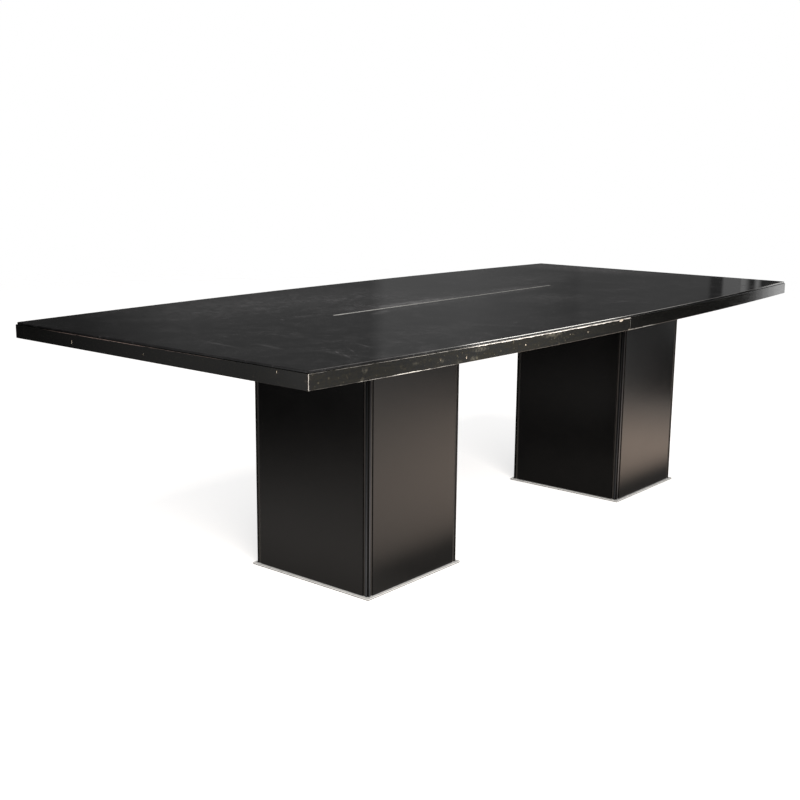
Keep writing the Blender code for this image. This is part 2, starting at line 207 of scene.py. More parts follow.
def black_anodised(name, box_posts, sheen_colour, sheen_above):
    """Anodised aluminium: a hard dark skin with a dull sheen and faint lines left along it by the die.

    The sheen is a painted reflection, which falls to the share sheen_above towards the top.
    """
    material, tree = start_material(name)
    place = node(tree, "TexCoord")["Object"]
    drawn = node(tree, "Mapping", {
        "Vector": place,
        "Scale": (per_metre(DIE_LINE_MM), per_metre(DIE_LINE_MM), per_metre(DIE_LENGTH_MM)),
    })["Vector"]
    die_lines = node(tree, "TexNoise", {"Vector": drawn, "Scale": 1.0, "Detail": 2.0})["Fac"]
    line_tone = node(tree, "ValToRGB", {"Fac": die_lines}, stops=[(0.3, 0.8), (0.7, 1.0)])["Color"]
    axes = node(tree, "SeparateXYZ", {"Vector": place})
    # painted reflection: the sheen is brightest near the floor and fades towards the top
    rubs_and_painted_sheen = node(tree, "MapRange", {
        "Value": axes["Z"], "From Min": SHEEN_FADE_TOP, "From Max": SHEEN_FULL_FOOT, "To Min": sheen_above,
    })["Result"]
    sheen_tone = node(tree, "Math", {
        "Value": line_tone, "Value_001": rubs_and_painted_sheen,
    }, operation="MULTIPLY")["Value"]
    sheen = node(tree, "Mix", {
        "Factor_Float": 1.0, "A_Color": linear(sheen_colour), "B_Color": sheen_tone,
    }, data_type="RGBA", blend_type="MULTIPLY")["Result_Color"]

    # dust lies in the grooves beside the ribs, its colour painted light enough to lift their shade,
    # and painted shade fills the notch on the box's very corner
    corners = [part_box(post) for post in box_posts]
    depths = []
    for index, axis in enumerate("XY"):
        start = min(low[index] for low, high in corners)
        stop = max(high[index] for low, high in corners)
        off_middle = node(tree, "Math", {
            "Value": axes[axis], "Value_001": (start + stop) / 2,
        }, operation="SUBTRACT")["Value"]
        off_middle = node(tree, "Math", {"Value": off_middle}, operation="ABSOLUTE")["Value"]
        depths.append(node(tree, "Math", {
            "Value": (stop - start) / 2, "Value_001": off_middle,
        }, operation="SUBTRACT")["Value"])
    both = {"Value": depths[0], "Value_001": depths[1]}
    shallow = node(tree, "Math", both, operation="MINIMUM")["Value"]
    deep = node(tree, "Math", both, operation="MAXIMUM")["Value"]
    sunk = node(tree, "Math", {"Value": shallow, "Value_001": FACE_SKIN}, operation="GREATER_THAN")["Value"]
    in_notch = node(tree, "Math", {"Value": deep, "Value_001": NOTCH_REACH}, operation="LESS_THAN")["Value"]
    # painted highlight: the sheen is strongest on the outer rib, next to the corner
    near_corner = node(tree, "MapRange", {
        "Value": deep, "From Min": RIB_HIGHLIGHT_REACH, "From Max": RIB_END, "To Min": 1.0, "To Max": RIB_SHADE,
    })["Result"]
    colour = node(tree, "Mix", {
        "Factor_Float": 1.0, "A_Color": sheen, "B_Color": near_corner,
    }, data_type="RGBA", blend_type="MULTIPLY")["Result_Color"]
    # the grooves get dust painted lighter than their shade, the notch gets painted shade
    for share, covering in ((sunk, GROOVE_DUST_AND_FILL_LIGHT), (in_notch, NOTCH_PAINTED_SHADE)):
        colour = node(tree, "Mix", {
            "Factor_Float": share, "A_Color": colour, "B_Color": linear(covering),
        }, data_type="RGBA")["Result_Color"]
    bright = node(tree, "Math", {"Value": 1.0, "Value_001": sunk}, operation="SUBTRACT")["Value"]
    roughness = node(tree, "MapRange", {"Value": die_lines, "To Min": 0.34, "To Max": 0.48})["Result"]
    shade = node(tree, "MapRange", {"Value": in_notch, "To Min": 0.5, "To Max": 0.1})["Result"]
    shader = node(tree, "BsdfPrincipled", {
        "Base Color": colour, "Metallic": bright, "Roughness": roughness, "Specular IOR Level": shade,
    })
    node(tree, "OutputMaterial", {"Surface": shader["BSDF"]})
    return material


# one post on each pedestal gets a brighter painted sheen than the rest
for side, bright_sheen_post in (("left", "left_near_outer_post"), ("right", "right_near_inner_post")):
    posts = [f"{side}_{face}_{edge}_post" for face in ("near", "far") for edge in ("outer", "inner")]
    plain_finish = black_anodised(f"black_anodised_aluminium_{side}", posts, PLAIN_SHEEN, PLAIN_ABOVE)
    bright_sheen_finish = black_anodised(f"bright_sheen_anodised_aluminium_{side}", posts, BRIGHT_PAINTED_SHEEN, BRIGHT_SHEEN_ABOVE)
    coat(plain_finish, *posts)
    coat(bright_sheen_finish, bright_sheen_post)

# Head, foot and half boards: medium density fibre board, sawn to size.
# Head and foot boards close the boxes; the two half boards under the glass are dyed black below.
FIBRE_PALE = "#9a7a58"
FIBRE_DARK = "#6e5238"
DYED_FIBRE_PALE = "#2a2826"
DYED_FIBRE_DARK = "#161514"
FIBRE_MM = 2.2  # real fibres are finer; drawn as coarse as shows
FIBRE_CLOUD_MM = 60.0


def fibre_board(name, pale, dark):
    """Pressed wood fibre: flecked, cloudy and dull."""
    material, tree = start_material(name)
    place = node(tree, "TexCoord")["Object"]
    flecks = node(tree, "TexNoise", {"Vector": place, "Scale": per_metre(FIBRE_MM), "Detail": 3.0})["Fac"]
    clouds = node(tree, "TexNoise", {
        "Vector": place, "Scale": per_metre(FIBRE_CLOUD_MM), "Detail": 4.0,
    })["Fac"]
    mixed = node(tree, "Math", {"Value": flecks, "Value_001": clouds}, operation="MULTIPLY")["Value"]
    spread = node(tree, "MapRange", {"Value": mixed, "From Min": 0.15, "From Max": 0.38})["Result"]
    colour = node(tree, "Mix", {
        "Factor_Float": spread, "A_Color": linear(dark), "B_Color": linear(pale),
    }, data_type="RGBA")["Result_Color"]
    relief = node(tree, "Bump", {"Height": flecks, "Strength": 0.2, "Distance": 0.0003})["Normal"]
    roughness = node(tree, "MapRange", {"Value": clouds, "To Min": 0.68, "To Max": 0.86})["Result"]
    shader = node(tree, "BsdfPrincipled", {
        "Base Color": colour, "Roughness": roughness, "IOR": 1.5, "Normal": relief,
    })
    node(tree, "OutputMaterial", {"Surface": shader["BSDF"]})
    return material


bare_fibre = fibre_board("sawn_fibre_board", FIBRE_PALE, FIBRE_DARK)
dyed_fibre = fibre_board("black_dyed_fibre_board", DYED_FIBRE_PALE, DYED_FIBRE_DARK)
for side in SIDES:
    coat(bare_fibre, f"{side}_head_board", f"{side}_foot_board")
    coat(dyed_fibre, f"{side}_half_board")

# Joining plates and screws: zinc plated steel, the plates stamped and the screws cold headed.
# The plates tie the two half boards together under the top; the screws hold plates, tops and bases.
ZINC_BRIGHT = "#b9bdc0"
ZINC_DULL = "#8d9092"
SPANGLE_MM = 4.0
RECESS_SPAN = 0.0056
RECESS_WIDTH = 0.0012
RECESS_DEPTH = 0.0016
RECESS_TAPER = 0.55  # size of the recess at its bottom, against its mouth

# Zinc plating: a bluish grey metal, dulled in patches by handling.
zinc_plate, tree = start_material("zinc_plated_steel")
place = node(tree, "TexCoord")["Object"]
spangle = node(tree, "TexVoronoi", {"Vector": place, "Scale": per_metre(SPANGLE_MM)})["Color"]
spangle_tone = node(tree, "SeparateColor", {"Color": spangle})["Red"]
zinc_colour = node(tree, "Mix", {
    "Factor_Float": spangle_tone, "A_Color": linear(ZINC_DULL), "B_Color": linear(ZINC_BRIGHT),
}, data_type="RGBA")["Result_Color"]
zinc_roughness = node(tree, "MapRange", {"Value": spangle_tone, "To Min": 0.34, "To Max": 0.5})["Result"]
zinc = node(tree, "BsdfPrincipled", {
    "Base Color": zinc_colour, "Metallic": 1.0, "Roughness": zinc_roughness,
})
node(tree, "OutputMaterial", {"Surface": zinc["BSDF"]})
coat(zinc_plate, "near_joining_plate", "far_joining_plate")


def cut(piece, cutters):
    """Takes the cutters out of the piece for good; the faces they leave have the cutters' finish."""
    for cutter in cutters:
        tool = piece.modifiers.new("cut", "BOOLEAN")
        tool.operation = "DIFFERENCE"
        tool.solver = "EXACT"
        tool.material_mode = "TRANSFER"
        tool.object = cutter
    bpy.context.view_layer.update()
    shaped = bpy.data.meshes.new_from_object(piece.evaluated_get(bpy.context.evaluated_depsgraph_get()))
    piece.modifiers.clear()
    piece.data = shaped
    for cutter in cutters:
        bpy.data.objects.remove(cutter, do_unlink=True)


def stand_in(cad_name, piece_name):
    """A copy of a CAD node's mesh as a piece of its own, in the same place."""
    piece = bpy.data.objects.new(piece_name, frame["nodes"][cad_name].data.copy())
    scene.collection.objects.link(piece)
    return piece


def recess_bar(centre, turn):
    """One of the two tapered bars that cross under a screw head to cut its driver recess."""
    shape = bmesh.new()
    for corner in bmesh.ops.create_cube(shape, size=1.0)["verts"]:
        inner = RECESS_TAPER if corner.co.z > 0 else 1.0
        corner.co.x *= RECESS_SPAN * inner
        corner.co.y *= RECESS_WIDTH * inner
        corner.co.z *= 2 * RECESS_DEPTH
    mesh = bpy.data.meshes.new("recess")
    shape.to_mesh(mesh)
    shape.free()
    mesh.materials.append(zinc_plate)
    cutter = bpy.data.objects.new("recess", mesh)
    cutter.location = centre
    cutter.rotation_euler.z = turn
    scene.collection.objects.link(cutter)
    return cutter


screw_names = [name for name in frame["nodes"] if "_screw_" in name]
for name in sorted(screw_names):
    low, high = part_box(name)
    head = ((low.x + high.x) / 2, (low.y + high.y) / 2, low.z)
    screw = stand_in(name, name + "_recessed")
    coat(zinc_plate, screw.name)
    cut(screw, [recess_bar(head, 0.0), recess_bar(head, math.pi / 2)])
    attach(screw, "root")
    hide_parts(name)

# Edge bands: six lacquered strips round the half boards, mitred at the corners and butted at
# mid-length. They are glued on, and years of knocks have worn the lacquer through along their edges.
LACQUER_BLACK = "#090908"
LACQUER_SCUFFED = "#211f16"
FLECK_PALE = "#7d7766"
SMEAR_GREY = "#7d7a6e"
BARE_PALE = "#f6f3ee"
BARE_BROWN = "#8d7a74"
SCUFF_LENGTH_MM = 70.0
SCUFF_WIDTH_MM = 7.0
BREAK_UP_MM = 22.0
SPECK_MM = 7.0
DEEPEST_WEAR = 0.0034
WEAR_HOLD = 0.0004  # wear shallower than this leaves the lacquer whole
UPRIGHT_LIMIT = 0.8  # a face that looks up or down more than this is no longer an upright one
MARK_CORE = 0.2  # share of a mark's reach that has its full strength
band_low, band_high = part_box("near_left_band")
end_low, end_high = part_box("left_end_band")
CORNER_X = -end_low.x
CORNER_Y = end_high.y


def soft_marks(tree, across, up, marks):
    """The strongest of some soft-edged marks at each place.

    A mark is its centre, turn in degrees, half length, half width and strength.
    """
    flat = node(tree, "CombineXYZ", {"X": across, "Y": up})["Vector"]
    strongest = None
    for at_x, at_y, degrees, half_length, half_width, strength in marks:
        local = node(tree, "Mapping", {
            "Vector": flat, "Location": (at_x, at_y, 0.0), "Scale": (half_length, half_width, 1.0),
            "Rotation": (0.0, 0.0, math.radians(degrees)),
        }, vector_type="TEXTURE")["Vector"]
        away = node(tree, "VectorMath", {"Vector": local}, operation="LENGTH")["Value"]
        mark = node(tree, "MapRange", {
            "Value": away, "From Min": MARK_CORE, "To Min": strength, "To Max": 0.0,
        })["Result"]
        strongest = mark if strongest is None else node(
            tree, "Math", {"Value": strongest, "Value_001": mark}, operation="MAXIMUM")["Value"]
    return strongest


def worn_lacquer(name, bare, axis, top_wear, foot_wear, scuffing, corner_wear, seam_wear, sheen,
                 smears=()):
    """Black lacquer worn through to its ground along the edges.

    The wear of the top and the foot edge and the scuffing of the face are given as (place along
    the axis, share); the wear at the mitred corner and at the butt joint is one share each.
    Smears are soft marks on the face, set by their place along it and their height above its foot.
    """
    material, tree = start_material(name)
    place = node(tree, "TexCoord")["Object"]
    axes = node(tree, "SeparateXYZ", {"Vector": place})
    break_up = node(tree, "TexNoise", {
        "Vector": place, "Scale": per_metre(BREAK_UP_MM), "Detail": 6.0,
    })["Fac"]
    ragged = node(tree, "MapRange", {
        "Value": break_up, "From Min": 0.36, "From Max": 0.60, "To Min": 0.45,
    })["Result"]
    along = node(tree, "MapRange", {
        "Value": axes[axis], "From Min": -CORNER_X, "From Max": CORNER_X,
    })["Result"]

    def share_along(shares):
        """A share that changes from place to place along the band."""
        stops = [((spot + CORNER_X) / (2 * CORNER_X), share) for spot, share in shares]
        return node(tree, "ValToRGB", {"Fac": along}, stops=stops)["Color"]

    def edge_wear(distance, share):
        """How bare an edge is: a greater share of wear reaches further in and bares more of it."""
        reach = node(tree, "Math", {"Value": ragged, "Value_001": share}, operation="MULTIPLY")["Value"]
        reach = node(tree, "Math", {
            "Value": reach, "Value_001": DEEPEST_WEAR, "Value_002": -WEAR_HOLD,
        }, operation="MULTIPLY_ADD")["Value"]
        reached = node(tree, "Math", {
            "Value": distance, "Value_001": reach,
        }, operation="LESS_THAN")["Value"]
        shown = node(tree, "Math", {"Value": share, "Value_001": 2.0}, operation="POWER")["Value"]
        return node(tree, "Math", {"Value": reached, "Value_001": shown}, operation="MULTIPLY")["Value"]

    # distances from the top and the foot edge, from the mitred corner and from the butt joint
    from_top = node(tree, "Math", {
        "Value": band_high.z, "Value_001": axes["Z"],
    }, operation="SUBTRACT")["Value"]
    from_foot = node(tree, "Math", {
        "Value": axes["Z"], "Value_001": band_low.z,
    }, operation="SUBTRACT")["Value"]
    across = node(tree, "Math", {"Value": axes["X"]}, operation="ABSOLUTE")["Value"]
    deep = node(tree, "Math", {"Value": axes["Y"]}, operation="ABSOLUTE")["Value"]
    gap_x = node(tree, "Math", {"Value": across, "Value_001": CORNER_X}, operation="SUBTRACT")["Value"]
    gap_y = node(tree, "Math", {"Value": deep, "Value_001": CORNER_Y}, operation="SUBTRACT")["Value"]
    gap_x = node(tree, "Math", {"Value": gap_x}, operation="ABSOLUTE")["Value"]
    gap_y = node(tree, "Math", {"Value": gap_y}, operation="ABSOLUTE")["Value"]
    from_corner = node(tree, "Math", {"Value": gap_x, "Value_001": gap_y}, operation="MAXIMUM")["Value"]

    # the ledge under the rim of the glass and the underside are out of reach and stay black
    facing = node(tree, "SeparateXYZ", {"Vector": node(tree, "NewGeometry")["True Normal"]})["Z"]
    facing = node(tree, "Math", {"Value": facing}, operation="ABSOLUTE")["Value"]
    upright = node(tree, "Math", {
        "Value": facing, "Value_001": UPRIGHT_LIMIT,
    }, operation="LESS_THAN")["Value"]
    worn = node(tree, "Math", {
        "Value": edge_wear(from_top, share_along(top_wear)),
        "Value_001": edge_wear(from_foot, share_along(foot_wear)),
    }, operation="MAXIMUM")["Value"]
    worn = node(tree, "Math", {"Value": worn, "Value_001": upright}, operation="MULTIPLY")["Value"]
    for distance, share in ((from_corner, corner_wear), (across, seam_wear)):
        worn = node(tree, "Math", {
            "Value": worn, "Value_001": edge_wear(distance, share),
        }, operation="MAXIMUM")["Value"]

    drag = node(tree, "Mapping", {
        "Vector": place,
        "Scale": (per_metre(SCUFF_LENGTH_MM), per_metre(SCUFF_LENGTH_MM), per_metre(SCUFF_WIDTH_MM)),
    })["Vector"]
    scuffs = node(tree, "TexNoise", {"Vector": drag, "Scale": 1.0, "Detail": 4.0, "Roughness": 0.6})["Fac"]
    specks = node(tree, "TexNoise", {"Vector": place, "Scale": per_metre(SPECK_MM), "Detail": 2.0})["Fac"]
    scuffed = node(tree, "Math", {"Value": scuffs, "Value_001": specks}, operation="MULTIPLY")["Value"]
    scuffed = node(tree, "MapRange", {"Value": scuffed, "From Min": 0.16, "From Max": 0.32})["Result"]
    flecked = node(tree, "ValToRGB", {"Fac": specks}, stops=[(0.66, 0.0), (0.76, 1.0)])["Color"]
    flecked = node(tree, "Math", {"Value": flecked, "Value_001": scuffs}, operation="MULTIPLY")["Value"]
    rubbing = share_along(scuffing)
    colour = linear(LACQUER_BLACK)
    for amount, tone in ((scuffed, LACQUER_SCUFFED), (flecked, FLECK_PALE)):
        amount = node(tree, "Math", {"Value": amount, "Value_001": rubbing}, operation="MULTIPLY")["Value"]
        colour = node(tree, "Mix", {
            "Factor_Float": amount, "A_Color": colour, "B_Color": linear(tone),
        }, data_type="RGBA")["Result_Color"]
    if smears:
        mottled = node(tree, "MapRange", {
            "Value": specks, "From Min": 0.40, "From Max": 0.62, "To Min": 0.15,
        })["Result"]
        smeared = node(tree, "Math", {
            "Value": soft_marks(tree, axes[axis], from_foot, smears), "Value_001": mottled,
        }, operation="MULTIPLY")["Value"]
        colour = node(tree, "Mix", {
            "Factor_Float": smeared, "A_Color": colour, "B_Color": linear(SMEAR_GREY),
        }, data_type="RGBA")["Result_Color"]
    colour = node(tree, "Mix", {
        "Factor_Float": worn, "A_Color": colour, "B_Color": linear(bare),
    }, data_type="RGBA")["Result_Color"]
    gloss = node(tree, "MapRange", {"Value": scuffs, "To Min": sheen, "To Max": sheen + 0.16})["Result"]
    roughness = node(tree, "Mix", {
        "Factor_Float": worn, "A_Float": gloss, "B_Float": 0.7,
    }, data_type="FLOAT")["Result_Float"]
    relief = node(tree, "Bump", {
        "Height": worn, "Strength": 0.4, "Distance": 0.0002,
    }, invert=True)["Normal"]
    shine = node(tree, "Math", {"Value": scuffed, "Value_001": rubbing}, operation="MULTIPLY")["Value"]
    shine = node(tree, "MapRange", {"Value": shine, "To Min": 0.54, "To Max": 0.30})["Result"]
    shader = node(tree, "BsdfPrincipled", {
        "Base Color": colour, "Roughness": roughness, "IOR": 1.5,
        "Specular IOR Level": shine, "Normal": relief,
    })
    node(tree, "OutputMaterial", {"Surface": shader["BSDF"]})
    return material


# Bare ground under the lacquer, as a fresh chip shows it: pale, dry and fibrous.
CHIP_PALE = "#ded6ca"
CHIP_DARK = "#b5a998"
CHIP_FIBRE_MM = 1.0
chipped_ground, tree = start_material("chipped_ground")
place = node(tree, "TexCoord")["Object"]
chip_fibres = node(tree, "TexNoise", {
    "Vector": place, "Scale": per_metre(CHIP_FIBRE_MM), "Detail": 3.0,
})["Fac"]
chip_colour = node(tree, "Mix", {
    "Factor_Float": chip_fibres, "A_Color": linear(CHIP_DARK), "B_Color": linear(CHIP_PALE),
}, data_type="RGBA")["Result_Color"]
chip_shader = node(tree, "BsdfPrincipled", {"Base Color": chip_colour, "Roughness": 0.85})
node(tree, "OutputMaterial", {"Surface": chip_shader["BSDF"]})

CHIP_SEED = 41
CHIP_LUMPS = (0.65, 1.25)  # how far in and out the skin of a chip wanders, against its size
chips = random.Random(CHIP_SEED)


def chip_cutter(centre, stretch):
    """A small lumpy blob that bites a chip out of a band where it is set."""
    shape = bmesh.new()
    bmesh.ops.create_icosphere(shape, subdivisions=2, radius=0.5)
    for corner in shape.verts:
        corner.co = corner.co * Vector(stretch) * chips.uniform(*CHIP_LUMPS)
    mesh = bpy.data.meshes.new("chip")
    shape.to_mesh(mesh)
    shape.free()
    mesh.materials.append(chipped_ground)
    cutter = bpy.data.objects.new("chip", mesh)
    cutter.location = centre
    scene.collection.objects.link(cutter)
    return cutter


SIDE_BOW = -band_low.y - CORNER_Y
SIDE_RADIUS = (CORNER_X ** 2 + SIDE_BOW ** 2) / (2 * SIDE_BOW)


def side_y(x):
    """Half the table's width at this place along it, on the arched line of the long sides."""
    return math.sqrt(SIDE_RADIUS ** 2 - x ** 2) - SIDE_RADIUS + CORNER_Y + SIDE_BOW


# Each chip: its place along the band, its height above the band's foot, its length and its height.
CHIP_DEPTH = 0.003
NEAR_LEFT_CHIPS = [(-0.878, 0.018, 0.0022, 0.0030), (-0.782, 0.012, 0.0035, 0.0075),
                   (-0.538, 0.017, 0.0050, 0.0055), (-0.330, 0.023, 0.0022, 0.0025),
                   (-0.238, 0.019, 0.0030, 0.0050), (-0.055, 0.034, 0.0220, 0.0080),
                   (-0.006, 0.000, 0.0100, 0.0060)]
LEFT_END_CHIPS = [(0.295, 0.016, 0.0026, 0.0100), (0.003, 0.017, 0.0016, 0.0030),
                  (-0.455, 0.031, 0.0022, 0.0060)]

# Wear and scuffing: places along the band, with the share of full wear that each has.
# Towards the left corner the top wear is partly real wear and partly a painted glint along the arris.
NEAR_TOP_WEAR_AND_GLINT = [(-1.30, 0.42), (-1.18, 0.42), (-1.08, 0.48), (-0.87, 0.58), (-0.78, 0.58),
                 (-0.73, 1.0), (-0.14, 1.0), (-0.07, 0.8), (0.0, 0.9)]
NEAR_FOOT_WEAR = [(-1.30, 0.4), (-1.17, 0.3), (-1.15, 0.6), (-1.06, 0.55), (-1.04, 0.85),
                  (-0.92, 0.85), (-0.90, 0.6), (-0.83, 0.55), (-0.80, 0.35), (0.0, 0.4)]
NEAR_SMEARS = [(-1.133, 0.025, 0, 0.012, 0.009, 0.22), (-1.138, 0.004, 0, 0.012, 0.006, 0.22),
               (-0.968, 0.020, 0, 0.016, 0.006, 0.15), (-0.872, 0.014, 0, 0.012, 0.007, 0.20),
               (-0.812, 0.005, 0, 0.016, 0.006, 0.25), (-0.752, 0.007, 0, 0.022, 0.008, 0.38),
               (-0.728, 0.027, 0, 0.042, 0.007, 0.50), (-0.420, 0.030, 0, 0.060, 0.008, 0.45)]
NEAR_SCUFFING = [(-1.30, 0.45), (-0.85, 0.5), (-0.74, 0.9), (-0.45, 0.8), (-0.25, 0.5), (0.0, 0.3)]
END_TOP_WEAR = [(-0.56, 0.5), (-0.52, 0.1), (-0.40, 0.0), (-0.30, 0.35), (-0.20, 0.6), (-0.13, 0.5),
                (-0.05, 0.55), (0.02, 0.7), (0.10, 0.78), (0.25, 0.72), (0.36, 0.6), (0.46, 0.2)]
END_FOOT_WEAR = [(-0.56, 0.5), (-0.52, 0.1), (0.55, 0.0)]
END_SCUFFING = [(-0.55, 0.20), (0.05, 0.05), (0.35, 0.0), (0.55, 0.0)]
PLAIN_TOP_WEAR = [(-1.30, 0.4), (-1.28, 0.1), (1.28, 0.1), (1.30, 0.4)]
PLAIN_FOOT_WEAR = [(-1.30, 0.4), (-1.28, 0.1), (-0.01, 0.3), (0.01, 0.7), (0.14, 0.7), (0.22, 0.2),
                   (1.30, 0.4)]
PLAIN_SCUFFING = [(-1.30, 0.1), (1.30, 0.1)]
band_finish = {
    "near_left_band": worn_lacquer(
        "lacquer_worn_pale", bare=BARE_PALE, axis="X", top_wear=NEAR_TOP_WEAR_AND_GLINT, foot_wear=NEAR_FOOT_WEAR,
        scuffing=NEAR_SCUFFING, corner_wear=0.8, seam_wear=0.55, sheen=0.14, smears=NEAR_SMEARS),
    "near_right_band": worn_lacquer(
        "lacquer_worn_little", bare=BARE_PALE, axis="X", top_wear=PLAIN_TOP_WEAR,
        foot_wear=PLAIN_FOOT_WEAR, scuffing=PLAIN_SCUFFING, corner_wear=0.35, seam_wear=0.3, sheen=0.06),
    "left_end_band": worn_lacquer(
        "lacquer_worn_brown", bare=BARE_BROWN, axis="Y", top_wear=END_TOP_WEAR, foot_wear=END_FOOT_WEAR,
        scuffing=END_SCUFFING, corner_wear=0.5, seam_wear=0.0, sheen=0.10),
}
for name in ("right_end_band", "far_left_band", "far_right_band"):
    band_finish[name] = band_finish["near_right_band"]

for name, finish in band_finish.items():
    band = stand_in(name, name + "_worn")
    coat(finish, band.name)
    bites = []
    if name == "near_left_band":
        bites = [chip_cutter((x, -side_y(x), band_low.z + up), (length, CHIP_DEPTH, height))
                 for x, up, length, height in NEAR_LEFT_CHIPS]
    elif name == "left_end_band":
        bites = [chip_cutter((end_low.x, y, band_low.z + up), (CHIP_DEPTH, length, height))
                 for y, up, length, height in LEFT_END_CHIPS]
    if bites:
        cut(band, bites)
    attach(band, "root")
    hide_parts(name)

# Glass top: one sheet of 6 mm float glass painted black on its back, lying on the boards.
# Its edges are ground to a pale arris, and its face carries wipe marks, dust and fine scratches.
GLASS_BLACK = "#060607"
DUST_GREY = "#77777a"
ARRIS_GREY = "#eaecec"
WIPE_MM = 150.0
CLOTH_STREAK_MM = 40.0
DUST_MM = 4.0
SCRATCH_LENGTH_MM = 160.0
SCRATCH_WIDTH_MM = 3.0  # a real scratch is a hair wide; drawn coarser so that it shows
SCRATCH_TURNS = (0.35, -0.55, 1.15)
HAZE_FILM = 0.13  # how strongly each kind of mark clouds the black
RUB_FILM = 0.42
SCRATCH_FILM = 0.28
SPECK_FILM = 0.10
WIPED_CLEAN = 0.40  # share of the haze at the left end, which was wiped last
CLEAN_REACH = 0.22
ARRIS_FACING = (0.3, 0.95)  # the arris looks up by more than the first and less than the second
POLISHED_SHINE = 0.5
DULL_SHINE = 0.04
glass_low, glass_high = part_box("glass_top")

# Marks that show singly: centre, direction in degrees, half length, half width and strength.
RUB_MARKS = [
    (-0.480, 0.380, -8, 0.680, 0.320, 0.62), (-0.900, 0.280, -30, 0.260, 0.160, 0.22),
    (-0.707, 0.570, 1, 0.170, 0.060, 0.50), (-0.850, 0.417, -12, 0.180, 0.060, 0.50),
    (-1.000, 0.312, -40, 0.200, 0.070, 0.35), (-0.228, 0.525, 8, 0.200, 0.040, 0.35),
    (-0.680, 0.070, -2, 0.100, 0.030, 0.50), (-1.183, -0.157, -95, 0.105, 0.009, 0.60),
    (-1.124, -0.255, -99, 0.068, 0.011, 0.60), (-0.190, 0.095, 2, 0.420, 0.110, 0.40),
    (-0.190, 0.048, 0, 0.330, 0.050, 2.00), (-0.180, -0.015, 0, 0.380, 0.040, 0.45),
    (0.320, 0.040, 0, 0.320, 0.080, 0.75), (-0.450, -0.030, 20, 0.090, 0.025, 1.00),
    (-1.084, -0.438, -125, 0.044, 0.004, 0.80), (-1.094, -0.469, -119, 0.044, 0.004, 0.80),
    (-1.028, -0.425, -125, 0.052, 0.004, 0.70), (-0.956, -0.402, -113, 0.068, 0.005, 0.60),
    (-1.103, 0.042, -47, 0.012, 0.007, 1.20), (-1.091, -0.059, -97, 0.013, 0.007, 1.20),
    (-0.772, 0.060, 0, 0.007, 0.007, 2.60), (-0.361, -0.442, 0, 0.006, 0.006, 2.20),
    (0.963, 0.580, 0, 0.008, 0.016, 2.60), (0.750, 0.180, 5, 0.550, 0.160, 0.35),
    (1.200, 0.300, 90, 0.450, 0.180, 1.10), (0.220, -0.190, 0, 0.200, 0.140, 0.35),
    (-0.480, 0.105, 0, 0.170, 0.060, 0.55),
]

# The ground arris: shares of the sheet's length from the left end, with how pale it is there, partly
# its own ground paleness and partly painted glint and painted shade. It is bright along most of the
# sides, duller towards the left corner and nearly black on the left end.
ARRIS_GLINT_AND_SHADE = [
    (0.0, 0.01), (0.001, 0.01), (0.005, 0.05), (0.10, 0.05), (0.19, 0.14), (0.217, 1.0), (0.46, 1.0),
    (0.475, 0.5), (0.504, 0.2), (0.62, 0.18), (0.70, 0.07), (0.90, 0.07), (0.97, 0.5),
]

# Back painted glass: a deep black mirror, clouded where it was wiped and where dust has settled.
black_glass, tree = start_material("black_back_painted_glass")
place = node(tree, "TexCoord")["Object"]
axes = node(tree, "SeparateXYZ", {"Vector": place})
wipes = node(tree, "TexNoise", {
    "Vector": place, "Scale": per_metre(WIPE_MM), "Detail": 7.0, "Roughness": 0.62, "Distortion": 1.4,
})["Fac"]
streaks = node(tree, "TexNoise", {
    "Vector": place, "Scale": per_metre(CLOTH_STREAK_MM), "Detail": 5.0, "Distortion": 2.0,
})["Fac"]
dust = node(tree, "TexNoise", {"Vector": place, "Scale": per_metre(DUST_MM), "Detail": 2.0})["Fac"]
wiped = node(tree, "ValToRGB", {"Fac": wipes}, stops=[(0.42, 0.0), (0.66, 1.0)])["Color"]
streaked = node(tree, "ValToRGB", {"Fac": streaks}, stops=[(0.40, 0.15), (0.62, 1.0)])["Color"]
haze = node(tree, "Math", {"Value": wiped, "Value_001": streaked}, operation="MULTIPLY")["Value"]
thinner = node(tree, "MapRange", {
    "Value": axes["X"], "From Min": glass_low.x, "From Max": glass_low.x + CLEAN_REACH,
    "To Min": WIPED_CLEAN,
})["Result"]
haze = node(tree, "Math", {"Value": haze, "Value_001": thinner}, operation="MULTIPLY")["Value"]

# single rubs and scratches, each a soft-edged streak broken up by the cloth's own marks
broken = node(tree, "MapRange", {"Value": streaked, "To Min": 0.2})["Result"]
rubs_and_painted_sheen = node(tree, "Math", {
    "Value": soft_marks(tree, axes["X"], axes["Y"], RUB_MARKS), "Value_001": broken,
}, operation="MULTIPLY")["Value"]

scratched = None
for turn in SCRATCH_TURNS:
    drag = node(tree, "Mapping", {"Vector": place, "Rotation": (0.0, 0.0, turn)})["Vector"]
    drag = node(tree, "VectorMath", {
        "Vector": drag, "Vector_001": (per_metre(SCRATCH_LENGTH_MM), per_metre(SCRATCH_WIDTH_MM), 1.0),
    }, operation="MULTIPLY")["Vector"]
    lines = node(tree, "TexNoise", {"Vector": drag, "Scale": 1.0, "Detail": 1.0})["Fac"]
    lines = node(tree, "ValToRGB", {"Fac": lines}, stops=[(0.70, 0.0), (0.76, 1.0)])["Color"]
    scratched = lines if scratched is None else node(
        tree, "Math", {"Value": scratched, "Value_001": lines}, operation="MAXIMUM")["Value"]
scratched = node(tree, "Math", {"Value": scratched, "Value_001": wipes}, operation="MULTIPLY")["Value"]

